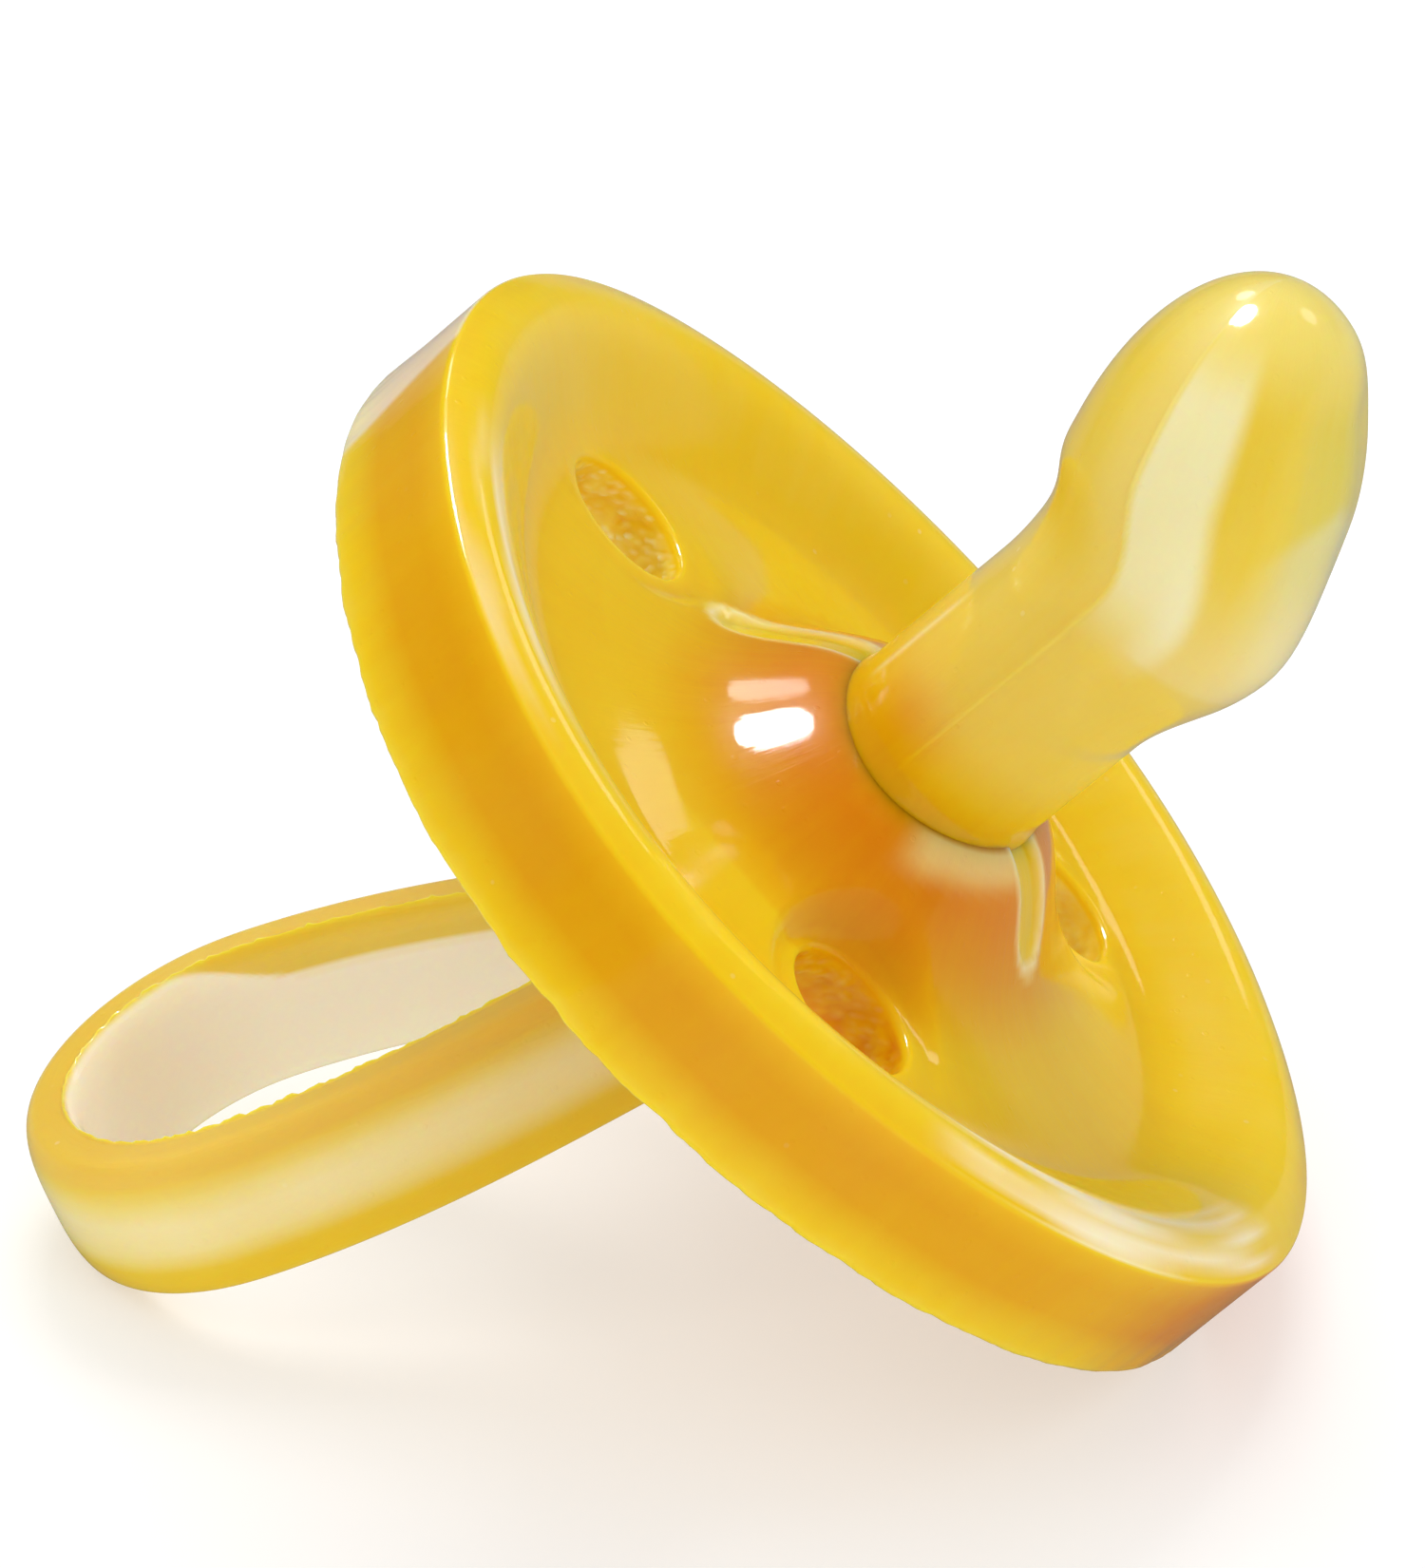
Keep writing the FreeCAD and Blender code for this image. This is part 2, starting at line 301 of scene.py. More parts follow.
def plate(shape, height, outer_r, middle_ring, middle_offsets, deep, milk):
    """A curved plate with the three vents and a middle opening. Returns its boundary rings."""
    steps = [VENT_ROUND * (1 - math.cos(math.radians(a))) for a in range(0, 91, 15)] + [0.8, 1.15, 1.55]
    vents = list(vent_centres())
    rings = [circle(0, 0, outer_r, RINGS)]
    rings += [circle(cx, cy, VENT_R, VENT_N) for cx, cy in vents]
    rings.append(middle_ring(0.0))
    flat = list(rings)
    for cx, cy in vents:
        flat += [circle(cx, cy, VENT_R + s, VENT_N) for s in steps[1:]]
    flat += [middle_ring(s) for s in middle_offsets]
    keep_out = middle_ring(middle_offsets[-1] + SPACING * 0.5)
    radii = np.arange(1.0, outer_r - 0.3 * SPACING, SPACING)
    fill = []
    for r in radii:
        n = max(12, int(2 * math.pi * r / SPACING))
        ring = circle(0, 0, r, n)
        ok = np.ones(n, bool)
        for cx, cy in vents:
            ok &= np.hypot(ring[:, 0] - cx, ring[:, 1] - cy) > VENT_R + steps[-1] + 0.5 * SPACING
        ok &= ~inside(ring, keep_out)
        fill.append(ring[ok])
    points = np.vstack(flat + fill)
    result = delaunay_2d_cdt([Vector(p) for p in points.tolist()], [], [], 0, 1e-6)
    triangles = np.array(result[2])
    points = np.array(result[0])
    middle = points[triangles].mean(1)
    ok = np.hypot(middle[:, 0], middle[:, 1]) < outer_r
    for cx, cy in vents:
        ok &= np.hypot(middle[:, 0] - cx, middle[:, 1] - cy) > VENT_R * math.cos(math.pi / VENT_N)
    ok &= ~inside(middle, middle_ring(0.0))
    z = height(points[:, 0], points[:, 1])
    r = np.hypot(points[:, 0], points[:, 1])
    grain = np.column_stack([points / r[:, None] * SHIELD_GRAIN, SHIELD_GRAIN_ACROSS * r])
    x, y = points.T
    ids = shape.add(np.column_stack([points, z]), deep(x, y), milk(x, y), grain)
    shape.faces += [tuple(ids[t]) for t in triangles[ok]]
    bounds, start = [], 0
    for ring in rings:
        bounds.append(ids[start:start + len(ring)])
        start += len(ring)
    return bounds


def inside(points, ring):
    """Which points lie inside a convex ring."""
    result = np.ones(len(points), bool)
    for a, b in zip(ring, np.roll(ring, -1, 0)):
        result &= (b[0] - a[0]) * (points[:, 1] - a[1]) - (b[1] - a[1]) * (points[:, 0] - a[0]) > 0
    return result


def shoulder(x, y):
    """The thin shoulder of the hub next to the neck, on the side the teat bends away from, where a
    reflection of the pale floor is painted.
    """
    beyond, angle = beyond_neck(x, y), np.degrees(np.arctan2(y, x)) % 360
    return (smooth((beyond - 0.15) / 0.35) * smooth((2.3 - beyond) / 1.2)
            * smooth((angle - 172) / 14) * smooth((240 - angle) / 16))


def shield_depth(x, y):
    """Depth of colour: deepest on the thick hub, paler in the flutes and on the dish, and paler on the
    hub's shoulder under its painted reflection.
    """
    r = np.hypot(x, y)
    on_hub = np.interp(hub_distance(x, y), [5, 7, 8.5, 10, 11.5, 14], [0.98, 1.0, 0.9, 0.74, 0.6, 0.54])
    on_hub = on_hub - 0.4 * smooth((FLUTE_HALF + 0.5 - flute_gap(x, y)) / 0.9) - 0.28 * shoulder(x, y)
    on_dish = np.interp(r, [14, 18, 19.5, 22, 24, 25], [0.56, 0.58, 0.5, 0.46, 0.5, 0.56])
    return np.where(r > 14, on_dish, on_hub)


def shield_painted_light(x, y):
    """Painted highlights and reflections, kept with the milkiness: streaks along two stretches of the lip,
    highlight loops along the flutes' edges, and a reflection of the floor on the hub's shoulder.
    """
    r, angle = np.hypot(x, y), np.degrees(np.arctan2(y, x)) % 360
    on_lip = smooth((r - 21.4) / 0.9) * smooth((25.4 - r) / 0.8)
    streak = np.array([noise.noise(Vector((0.05 * t, 2.6 * q, 1.7))) for t, q in zip(angle, r)])
    # painted reflections of the pale surroundings along two stretches of the lip
    high = smooth((angle - 92) / 14) * smooth((140 - angle) / 16) * (0.14 + 0.6 * streak)
    low = smooth((angle - 186) / 10) * smooth((250 - angle) / 12) * (0.24 + 1.0 * streak)
    # painted highlight loops along the flutes' edges
    flute_highlight = 0.4 * np.exp(-((flute_gap(x, y) - FLUTE_HALF + 0.1) / 0.24) ** 2)
    return np.clip(on_lip * (high + low) + flute_highlight + 0.22 * shoulder(x, y), 0, 0.8)


def skirt_section():
    """The skirt's section as (radius, z, depth of colour), down its outside and up its inside."""
    path = [(RIM_R - 0.02, CREST_Z - 0.05, 0.58), (RIM_R, CREST_Z - 0.13, 0.6)]
    edge, inner = SKIRT_EDGE, RIM_R - SKIRT_WALL
    for z in np.linspace(CREST_Z - 0.25, SKIRT_BACK + edge, 16):
        tone = np.interp(-z, [1.2, 2.6, 4.6, 5.8, 6.8], [0.66, 0.78, 0.76, 0.56, 0.46])
        path.append((RIM_R, z, float(tone)))
    bends = [(edge * (1 - math.cos(t)), SKIRT_BACK + edge * (1 - math.sin(t)))
             for t in (math.radians(22.5 * i) for i in range(1, 5))]
    path += [(RIM_R - step, z, 0.5) for step, z in bends]
    path += [(inner + step, z, 0.6) for step, z in bends[::-1]]
    return path + [(inner, z, 0.75) for z in np.linspace(SKIRT_BACK + edge, under(inner), 8)[:-1]]


def add_skirt(shape, front_rim, back_rim):
    """The skirt between the plates' rims. Its back edge is a little uneven, as cut rubber is."""
    a = np.arange(RINGS) * 2 * math.pi / RINGS
    at = np.degrees(a)
    rough = np.array([noise.noise(Vector((9 * math.cos(t), 9 * math.sin(t), 3.1))) for t in a])
    nicks = np.array([noise.noise(Vector((40 * math.cos(t), 40 * math.sin(t), 7.7))) for t in a])
    last = front_rim
    for r, z, tone in skirt_section():
        low = float(smooth((-4.0 - z) / 3.0))
        rr = r + low * (0.12 * rough + 0.05 * nicks)
        x, y = rr * np.cos(a), rr * np.sin(a)
        points = np.column_stack([x, y, z + rim_warp(x, y) + low * (0.22 * rough + 0.12 * nicks)])
        # one stretch of the outside is deeper in colour, and another has a pale patch painted as a
        # reflection of the floor
        outside = 1.0 if r > RIM_R - 0.5 else 0.0
        tones = tone + 0.38 * outside * smooth((at - 215) / 30) * smooth((300 - at) / 30)
        painted_reflection = 0.5 * outside * smooth((at - 58) / 10) * smooth((88 - at - (z + 4)) / 2)
        grain = np.column_stack([SHIELD_GRAIN * np.cos(a), SHIELD_GRAIN * np.sin(a),
                                 0 * a + SHIELD_GRAIN_ACROSS * z])
        ring = shape.add(points, tones, painted_reflection, grain)
        shape.strip(last, ring)
        last = ring
    shape.strip(last, back_rim)


def add_vent_wall(shape, front_ring, back_ring, tone, blister):
    """The wall of one air hole, lumpy, and beaded where blister is above 0."""
    points = np.vstack(shape.points)
    top, bottom = points[front_ring], points[back_ring]
    last = front_ring
    for t in np.linspace(0, 1, 13)[1:-1]:
        wall = top + (bottom - top) * t
        middle = wall.mean(0)
        bumps = [noise.noise(Vector(p * 1.3)) + 0.6 * noise.noise(Vector(p * 3.1)) for p in wall]
        bumps = np.array(bumps)
        beads = np.array([max(0.0, noise.noise(Vector(p * 5.5)) - 0.1) for p in wall])
        push = (0.16 * bumps - blister * beads) * math.sin(math.pi * t)
        wall[:, :2] += (wall - middle)[:, :2] / VENT_R * push[:, None]
        ring = shape.add(wall, tone + 0.12 * bumps, blister * beads)
        shape.strip(last, ring)
        last = ring
    shape.strip(last, back_ring)


def add_opening(shape, front_ring, back_ring):
    """The recess for the teat's root flange, and the oval hole for its neck."""
    points = np.vstack(shape.points)
    top, recess = points[front_ring], points[back_ring].copy()
    recess[:, 2] = PLATE_BACK + FLANGE_T
    recess_ring = shape.add(recess, 0.8)
    shape.strip(back_ring, recess_ring)
    low = top.copy()
    low[:, 2] = PLATE_BACK + FLANGE_T
    last = shape.add(low, 0.9)
    # both rings start at the same side of the teat
    shift = int(round(TEAT_CLOCK / 360 * NECK_N)) % NECK_N
    shape.strip(np.roll(recess_ring, -shift), last)
    for t in np.linspace(0, 1, 8)[1:-1]:
        ring = shape.add(low + (top - low) * t, 0.9)
        shape.strip(last, ring)
        last = ring
    shape.strip(last, front_ring)


def make_shield():
    shape = Shape()
    front = plate(shape, front_height, RIM_R - 0.08, lambda s: neck_oval(s, NECK_N),
                  [0.03, 0.08, 0.15, 0.25, 0.45, 0.75], shield_depth, shield_painted_light)
    back = plate(shape, back_height, RIM_R - SKIRT_WALL,
                 lambda s: circle(0, 0, FLANGE_R + RUN + s, NECK_N), [0.2, 0.5],
                 lambda x, y: 0 * x + 0.7, lambda x, y: 0 * x)
    add_skirt(shape, front[0], back[0])
    # each hole's wall gets its own depth of colour as painted light: paler in the first and third, where
    # light shines through them, deeper orange in the second
    for f, b, tone, blister in zip(front[1:4], back[1:4], (0.44, 0.8, 0.38), (0.5, 0.1, 0.1)):
        add_vent_wall(shape, f, b, tone, blister)
    add_opening(shape, front[4], back[4])
    return shape.build("shield_rubber")


# ---------------------------------------------------------------- teat

def teat_ring(s, inset, n):
    """Oval section of the teat at distance s along its centre line, in the shield's frame."""
    steps = 60
    y, z, heading = NECK_OFFSET, HUB_TOP_Z, 0.0
    for i in range(steps):
        at = s * (i + 0.5) / steps
        heading = math.radians(BEND) * float(smooth((at - BEND_SPAN[0]) / (BEND_SPAN[1] - BEND_SPAN[0])))
        y += math.sin(heading) * s / steps
        z += math.cos(heading) * s / steps
    upper = float(smooth((s - UPPER_SPAN[0]) / (UPPER_SPAN[1] - UPPER_SPAN[0])))
    lower = float(smooth((s - LOWER_SPAN[0]) / (LOWER_SPAN[1] - LOWER_SPAN[0])))
    to_tip = max(0.0, (s - TIP_START) / (TEAT_LENGTH - inset - TIP_START))
    closing = math.sqrt(max(0.0, 1 - to_tip ** 2.1))
    wide = (NECK_WIDE + (BULB_WIDE - NECK_WIDE) * upper - inset) * closing
    above = (NECK_THICK + (BULB_THICK - NECK_THICK) * upper - inset) * closing
    below = (NECK_THICK + (BULB_THICK - NECK_THICK) * lower - inset) * closing
    turn = np.arange(n) * 2 * math.pi / n
    c, sn = np.cos(turn), np.sin(turn)
    height = np.where(sn > 0, above, below)
    x, v = wide * c, height * sn
    if inset == 0:   # a small fillet at the foot, a raised parting line and a dished tongue side
        foot = 1 + 0.03 * float(smooth((0.6 - s) / 0.8) * smooth((s + 1.8) / 0.8))
        x, v = x * foot, v * foot
        shift = math.radians(11) * float(smooth((s - 12) / 5))
        for at in (math.pi - shift, shift):
            off = (turn - at + math.pi) % (2 * math.pi) - math.pi
            ridge = 1 + 0.014 * np.exp(-(off / 0.022) ** 2) * float(smooth(s / 2) * smooth((24 - s) / 2))
            x, v = x * ridge, v * ridge
        dished = np.exp(-(np.abs(c) / 0.62) ** 4) * (sn < 0)
        v = v + 0.9 * float(smooth((s - 11.5) / 4) * (1 - smooth((s - 19.5) / 4))) * dished
    up = np.array([0, math.cos(heading), -math.sin(heading)])
    ring = np.array([0, y, z]) + x[:, None] * np.array([1.0, 0, 0]) + v[:, None] * up
    return turned(ring, TEAT_CLOCK), turn


def teat_tone(s, turn):
    """Depth of colour and milkiness round one section of the teat, with painted reflections on the bulb,
    painted shade on its dished face and a painted highlight streak on the neck.
    """
    around = np.degrees(turn)
    parting = 180 - 11 * float(smooth((s - 12) / 5))
    near = around - parting                      # degrees past the parting line, towards the tongue side
    far = (360 - around) + (180 - parting)
    past = np.where(around <= 270, near, far)
    past = np.where(around < 90, -(around + 180 - parting), past)
    bulb, tip = float(smooth((s - 9.5) / 4)), float(smooth((s - 20) / 3.5))
    base = float(np.interp(s, [-8, 0, 1.5, 4, 8, 13, 25], [0.95, 0.8, 0.58, 0.5, 0.45, 0.41, 0.39]))
    palate = smooth((-past - 5) / 70)
    # painted reflection: the pale band beside the parting line on the bulb
    shoulder = bulb * (1 - tip) * smooth((past + 1) / 4) * (1 - smooth((past - 27) / 10))
    # painted shade: the dished face a little deeper in colour
    face = bulb * (1 - tip) * smooth((past - 26) / 10)
    heel = float(smooth((s - 10.6) / 0.5) * (1 - smooth((s - 12) / 3.5))) * smooth((past - 14) / 14)
    # painted reflection of the pale surroundings on the lower face
    low_face_reflection = face * smooth((past - 40) / 45) * (1 - smooth((s - 14.6 - 0.03 * (past - 40)) / 0.9))
    deep = base + 0.16 * palate * (0.3 + 0.7 * bulb) - 0.22 * shoulder + 0.05 * face - 0.1 * tip
    upper_side = 0.1 * bulb * (1 - smooth(-past / 30)) * (past < 0)
    milk = 0.38 * shoulder + upper_side + 0.16 * heel + 0.22 * low_face_reflection + 0.04 * tip
    blob = math.exp(-((s - 2.2) / 1.6) ** 2) * np.exp(-((around - 162) / 24) ** 2)
    # a painted highlight streak along the neck
    line = float(smooth((s - 0.8) / 1) * smooth((7 - s) / 2)) * np.exp(-((around - 126) / 2.2) ** 2)
    haze = 0.10 * float(smooth((s - 1.0) / 3)) * (1 - 0.6 * bulb)
    return np.clip(deep + 0.22 * blob, 0, 1), np.clip(milk + haze + 0.3 * line, 0, 0.8)


def make_teat():
    shape = Shape()
    n = 288
    a = np.arange(n) * 2 * math.pi / n

    def flat_ring(r, z):
        return turned(np.column_stack([r * np.cos(a), r * np.sin(a), 0 * a + z]), TEAT_CLOCK)

    bore = STEM_R + RUN
    rings = []
    end = TEAT_LENGTH - TEAT_WALL
    inner = [CAVITY_START + (TIP_START - CAVITY_START) * i / 16 for i in range(16)]
    inner += [TIP_START + (end - TIP_START) * math.sin(math.pi / 2 * i / 14) for i in range(14)]
    for s in reversed(inner):
        rings.append((teat_ring(s, TEAT_WALL, n)[0], 0.6))
    for z in (HUB_TOP_Z + CAVITY_START, HUB_TOP_Z, 0, -2, -4, PLATE_BACK):
        rings.append((flat_ring(bore, z), 0.8))
    for r in (4, 6, FLANGE_R - 0.3, FLANGE_R - 0.06):
        rings.append((flat_ring(r, PLATE_BACK), 0.7))
    for r, z in ((FLANGE_R, PLATE_BACK + 0.1), (FLANGE_R, PLATE_BACK + FLANGE_T - 0.05)):
        rings.append((flat_ring(r, z), 0.7))
    start = PLATE_BACK + FLANGE_T - 0.05 - HUB_TOP_Z
    outer = [start + (TIP_START - start) * i / 72 for i in range(72)]
    outer += [TIP_START + (TEAT_LENGTH - TIP_START) * math.sin(math.pi / 2 * i / 56) for i in range(56)]
    for s in outer:
        ring, turn = teat_ring(s, 0, n)
        deep, milk = teat_tone(s, turn)
        grain = np.column_stack([8 * np.cos(turn), 8 * np.sin(turn), 0 * turn + 0.12 * s])
        rings.append((ring, deep, milk, grain))
    tip_in = shape.add(teat_ring(end - 1e-6, TEAT_WALL, 4)[0].mean(0), 0.6)[0]
    last = None
    first = None
    for row in rings:
        ids = shape.add(*row)
        if last is None:
            first = ids
        else:
            shape.strip(last, ids)
        last = ids
    shape.fan(first, tip_in)
    tip = shape.add(teat_ring(TEAT_LENGTH - 1e-6, 0, 4)[0].mean(0), 0.2)[0]
    shape.fan(last, tip)
    return shape.build("teat_rubber")


# ---------------------------------------------------------------- plug

def make_plug():
    shape = Shape()
    n = 96
    a = np.arange(n) * 2 * math.pi / n

    def section(hx, hy, z, power):
        """An oval at height z. With a power above 2 its corners fill out."""
        c, s = np.cos(a), np.sin(a)
        x, y = hx * np.sign(c) * np.abs(c) ** (2 / power), hy * np.sign(s) * np.abs(s) ** (2 / power)
        return np.column_stack([x, y, 0 * a + z])

    front = PLATE_BACK - RUN
    snap = HUB_TOP_Z + CAVITY_START + 3 * RUN
    back = front - PLUG_FLANGE_T
    rounds = [(1.3, snap + SNAP_LENGTH), (1.6, snap + SNAP_LENGTH - 0.1), (SNAP_R - 0.1, snap + 0.15),
              (SNAP_R, snap + 0.05), (SNAP_R - 0.1, snap), (STEM_R, snap - 0.01), (STEM_R, 0),
              (STEM_R, front + 0.05), (STEM_R + 0.1, front), (5, front)]
    for t in np.linspace(90, -90, 13):
        r = PLUG_FLANGE_R - FLANGE_EDGE + FLANGE_EDGE * math.cos(math.radians(t))
        z = front - FLANGE_EDGE if t > 0 else back + FLANGE_EDGE
        rounds.append((r, z + FLANGE_EDGE * math.sin(math.radians(t))))
    for t in np.linspace(0, 90, 7):
        r = BOSS_R + BOSS_FILLET - BOSS_FILLET * math.sin(math.radians(t))
        rounds.append((r, back - BOSS_FILLET + BOSS_FILLET * math.cos(math.radians(t))))
    rows = [(r, r, z, 2) for r, z in rounds]
    for t in np.linspace(0, 1, 12)[1:]:
        e = float(smooth(t))
        z = -8.4 + (BOSS_BACK - 1.6 + 8.4) * t
        hx, hy = BOSS_R + (TONGUE_T / 2 - BOSS_R) * e, BOSS_R + (TONGUE_R - BOSS_R) * e
        rows.append((hx, hy, z, 2 + 3 * e))
    for z in np.linspace(BOSS_BACK - 1.6, PIVOT_Z, 8)[1:]:
        rows.append((TONGUE_T / 2, TONGUE_R, z, 5))
    for t in np.linspace(0, 90, 16)[1:-1]:
        s, c = math.sin(math.radians(t)), math.cos(math.radians(t))
        hx = TONGUE_T / 2 * min(1, 0.35 + 1.6 * c) ** 0.5
        rows.append((hx, TONGUE_R * c, PIVOT_Z - TONGUE_R * s, 5 - 2.5 * (t / 90) ** 2))
    last = None
    for hx, hy, z, power in rows:
        ids = shape.add(section(hx, hy, z, power), 0.8)
        if last is None:
            tip = shape.add([[0, 0, z]], 0.8)[0]
            shape.fan(ids, tip)
        else:
            shape.strip(last, ids)
        last = ids
    tip = shape.add([[0, 0, PIVOT_Z - TONGUE_R]], 0.8)[0]
    shape.fan(last, tip)
    plug = shape.build("plug_rubber")
    combine(plug, rod(PEG_R + RUN, -TONGUE_T, TONGUE_T), "DIFFERENCE", 0.9)
    return plug


# ---------------------------------------------------------------- handle

def loop_path():
    """Centre line of the band from one end to the other, as (x, distance behind the pivot)."""
    h = np.linspace(0, LOOP_WIDEST, 200)
    x = ROOT_HALF + (LOOP_HALF - ROOT_HALF) * np.sin(np.pi / 2 * h / LOOP_WIDEST)
    t = np.linspace(0, math.pi / 2, 200)[1:]
    h2 = LOOP_WIDEST + (LOOP_LENGTH - LOOP_WIDEST) * np.sin(t)
    x2 = LOOP_HALF * np.cos(t)
    ends = np.linspace(-BAND_W / 2 - 3, 0, 40)[:-1]
    half = np.column_stack([np.concatenate([0 * ends + ROOT_HALF, x, x2]), np.concatenate([ends, h, h2])])
    line = np.vstack([half, half[-2::-1] * [-1, 1]])
    run = np.concatenate([[0], np.cumsum(np.hypot(*np.diff(line, axis=0).T))])
    even = np.linspace(0, run[-1], 900)
    line = np.column_stack([np.interp(even, run, line[:, 0]), np.interp(even, run, line[:, 1])])
    step = even[1]
    kernel = np.exp(-0.5 * (np.arange(-60, 61) * step / LOOP_SOFT) ** 2)
    kernel /= kernel.sum()
    padded = np.pad(line, ((60, 60), (0, 0)), mode="reflect", reflect_type="odd")
    line = np.column_stack([np.convolve(padded[:, k], kernel, mode="valid") for k in (0, 1)])
    keep = line[:, 1] > -BAND_W / 2 + 0.01
    return line[keep]


def band_tone(band, s, h):
    """Depth of colour and milkiness round the band, from its lower edge at band -1 to its upper one
    at 1. Its pale cream middle outside and its cream inner face are painted light and reflections of the
    studio lamps. It is outside the loop where s is above 0, and h behind the pivot."""
    far = float(smooth((h - 19) / 6))
    # painted reflection: the band's middle is paler than its edges
    outside = np.interp(band, [-1, -0.55, -0.3, 0.1, 0.45, 0.75, 1.0],
                        [0.52, 0.5, 0.24, 0.14, 0.22, 0.56, 0.56]) + 0.04 * far
    strip = 0.42 + 0.5 * float(smooth((h - 15) / 6))      # where the yellow upper edge begins
    inner = [-1, -0.9, strip, strip + 0.08, 1.01]
    within = np.interp(band, inner, [0.3, 0.0, 0.0, 0.34, 0.42])
    milk = np.interp(band, [-1, -0.5, -0.2, 0.2, 0.55, 1.0], [0, 0.03, 0.25, 0.25, 0.1, 0.12])
    milk_within = np.interp(band, inner, [0.2, 0.95, 0.95, 0.05, 0.0])
    return np.where(s > -0.35, outside, within), np.where(s > -0.35, milk * (1 - 0.4 * far), milk_within)


def make_handle():
    shape = Shape()
    line = loop_path()
    run = np.concatenate([[0], np.cumsum(np.hypot(*np.diff(line, axis=0).T))])
    total, R = run[-1], BAND_W / 2
    ends = R * (1 - np.cos(np.linspace(0, math.pi / 2, 16)))[1:-1]
    body = np.linspace(R, total - R, 260)
    stations = np.concatenate([ends, body, total - ends[::-1]])
    n = 96
    turn = np.arange(n) * 2 * math.pi / n
    c, s = np.cos(turn), np.sin(turn)
    flash = np.exp(-((turn - 2 * math.pi + 0.42) / 0.09) ** 2)
    last = None
    for u in stations:
        x, h = np.interp(u, run, line[:, 0]), np.interp(u, run, line[:, 1])
        x0, h0 = np.interp(u - 0.2, run, line[:, 0]), np.interp(u - 0.2, run, line[:, 1])
        x1, h1 = np.interp(u + 0.2, run, line[:, 0]), np.interp(u + 0.2, run, line[:, 1])
        tangent = np.array([x1 - x0, h1 - h0])
        tangent /= np.hypot(*tangent)
        out = np.array([tangent[1], -tangent[0]])
        e = min(u, total - u)
        half = math.sqrt(max(0.0, R * R - max(0.0, R - e) ** 2))
        edge = math.sqrt(max(0.0, 1 - max(0.0, 1 - e / BAND_EDGE) ** 2))
        power = np.where(s > 0, 3.0, 5.0)
        spikes = 0.10 + 0.25 * abs(noise.noise(Vector((u * 1.7, 0, 5.0))))
        spikes += 0.2 * abs(noise.noise(Vector((u * 5.1, 0, 9.0))))
        v = half * np.sign(c) * np.abs(c) ** (2 / power) + spikes * edge * flash
        w = BAND_T / 2 * edge * np.sign(s) * np.abs(s) ** (2 / power)
        points = np.column_stack([x + out[0] * w, v, -(h + out[1] * w)])
        tone, milk = band_tone(v / R, s, h)
        grain = np.column_stack([v, w, 0 * v + 0.15 * u])
        points = turned(points, FOLD_REST, "X") + [0, 0, PIVOT_Z]
        ids = shape.add(points, tone, milk, grain)
        if last is not None:
            shape.strip(last, ids)
        else:
            first = ids
        last = ids
    for ring in (first, last):
        centre = np.vstack(shape.points)[ring].mean(0)
        shape.fan(ring, shape.add([centre], 0.5)[0])
    handle = shape.build("handle_rubber")
    for side in (-1, 1):
        combine(handle, rod(PEG_R, side * PEG_GAP / 2, side * ROOT_HALF), "UNION", 0.5)
    return handle


# ---------------------------------------------------------------- materials

def linear(r, g, b):
    """Linear colour of an sRGB colour given as 0 to 255."""
    def channel(v):
        v /= 255
        return v / 12.92 if v <= 0.04045 else ((v + 0.055) / 1.055) ** 2.4
    return channel(r), channel(g), channel(b), 1.0


# Rubber from thin to thick, where it is milky and where highlights and reflections are painted on it, and
# specks of dust, as sRGB colours
TONES = [(0.0, (240, 230, 178)), (0.25, (232, 210, 96)), (0.5, (229, 195, 24)),
         (0.75, (223, 166, 3)), (1.0, (214, 130, 0))]
MILK_AND_PAINTED_LIGHT, DUST = (248, 244, 226), (250, 244, 220)


